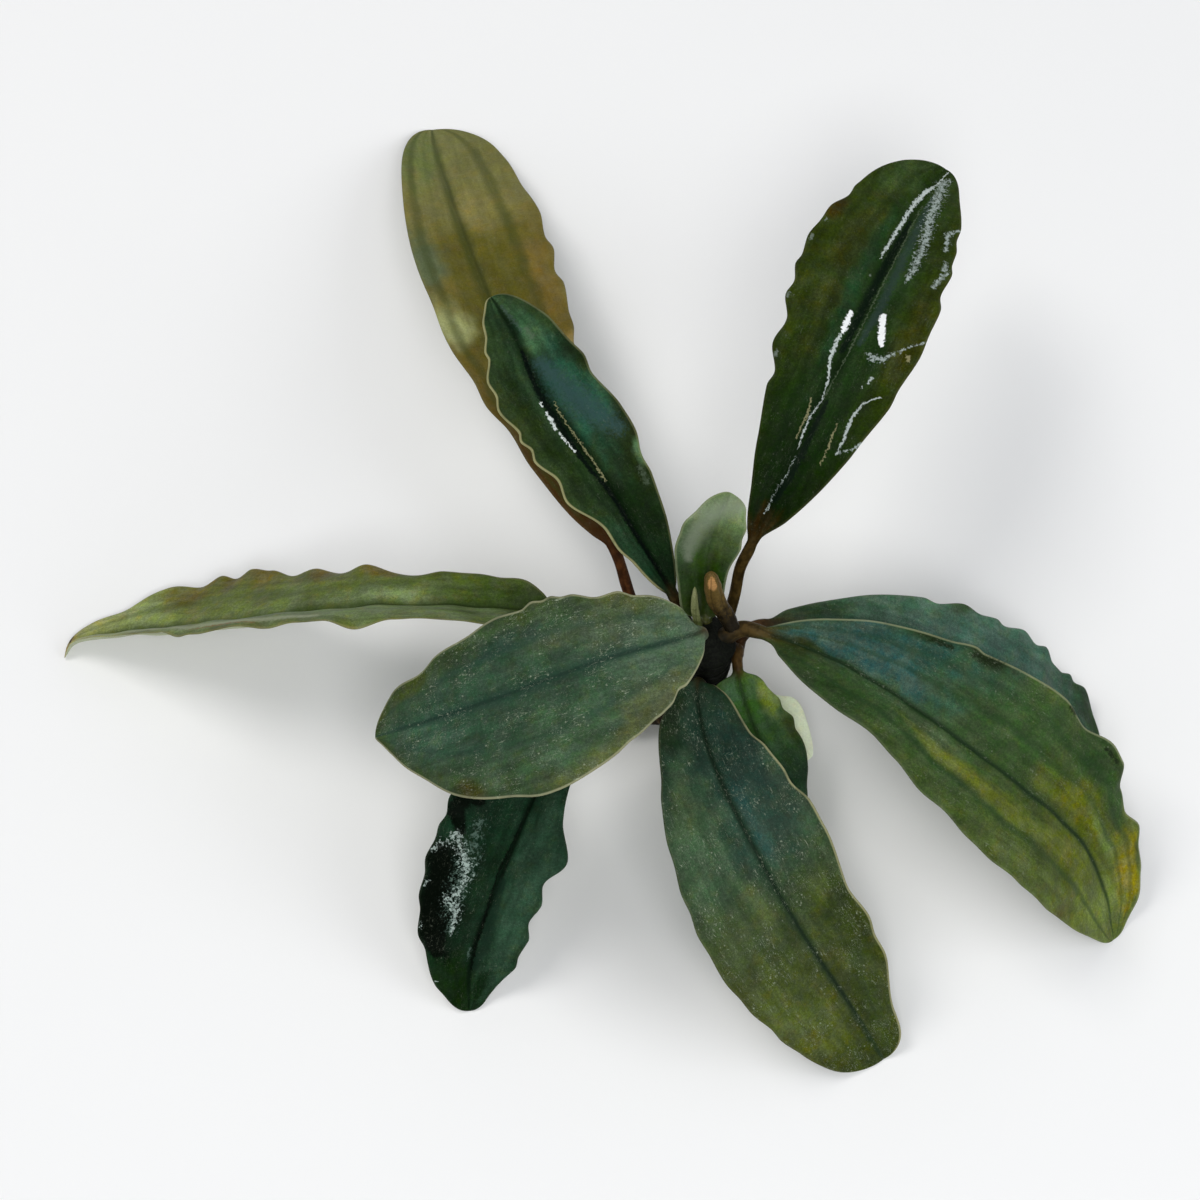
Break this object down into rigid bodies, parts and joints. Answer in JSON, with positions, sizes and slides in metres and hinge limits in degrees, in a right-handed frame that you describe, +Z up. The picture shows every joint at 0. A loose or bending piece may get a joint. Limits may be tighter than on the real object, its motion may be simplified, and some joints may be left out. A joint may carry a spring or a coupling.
{
  "type": "bucephalandra",
  "caption": "Loose aquarium plant: a rosette of long wavy-edged leaves arching out from a short creeping rhizome, with a bud, a rolled young leaf and wiry roots.",
  "frame": {"origin": "on the surface that the plant rests on, in the flat underside of the rhizome's creeping part", "axes": "+Z up; +X to the right and +Y away from a viewer who looks down from the front, as in the picture"},
  "size_m": [0.1309, 0.1255, 0.0396],
  "materials": {
    "leaf_back_tall": "matte, brown-olive with darker vein bands",
    "leaf_back_middle": "satin, dark blue-green",
    "leaf_back_right": "wet gloss, dark olive",
    "leaf_young_upright": "satin, pale green",
    "leaf_far_left": "satin, olive with brown wave crests",
    "leaf_front_left": "matte, grey-green with fine pale specks",
    "leaf_low_left": "gloss, near-black green",
    "leaf_front_right": "satin, teal to olive",
    "leaf_small_inner": "satin, dark green",
    "leaf_small_pale": "matte, pale green",
    "leaf_right_upper": "satin, teal to olive-yellow",
    "leaf_right_lower": "satin, teal",
    "crown_bud": "matte, orange-brown",
    "new_leaf_spear": "satin, pale yellow-green",
    "rhizome": "matte, near-black brown",
    "root": "matte, brown"
  },
  "bodies": {
    "root": {"rhizome": "rhizome", "leaf_back_tall": "leaf_back_tall", "leaf_back_middle": "leaf_back_middle", "leaf_back_right": "leaf_back_right", "leaf_young_upright": "leaf_young_upright", "leaf_far_left": "leaf_far_left", "leaf_front_left": "leaf_front_left", "leaf_low_left": "leaf_low_left", "leaf_front_right": "leaf_front_right", "leaf_small_inner": "leaf_small_inner", "leaf_small_pale": "leaf_small_pale", "leaf_right_upper": "leaf_right_upper", "leaf_right_lower": "leaf_right_lower", "crown_bud": "crown_bud", "new_leaf_spear": "new_leaf_spear", "root_1": "root", "root_2": "root", "root_3": "root", "root_4": "root", "root_5": "root"}
  },
  "joints": []
}
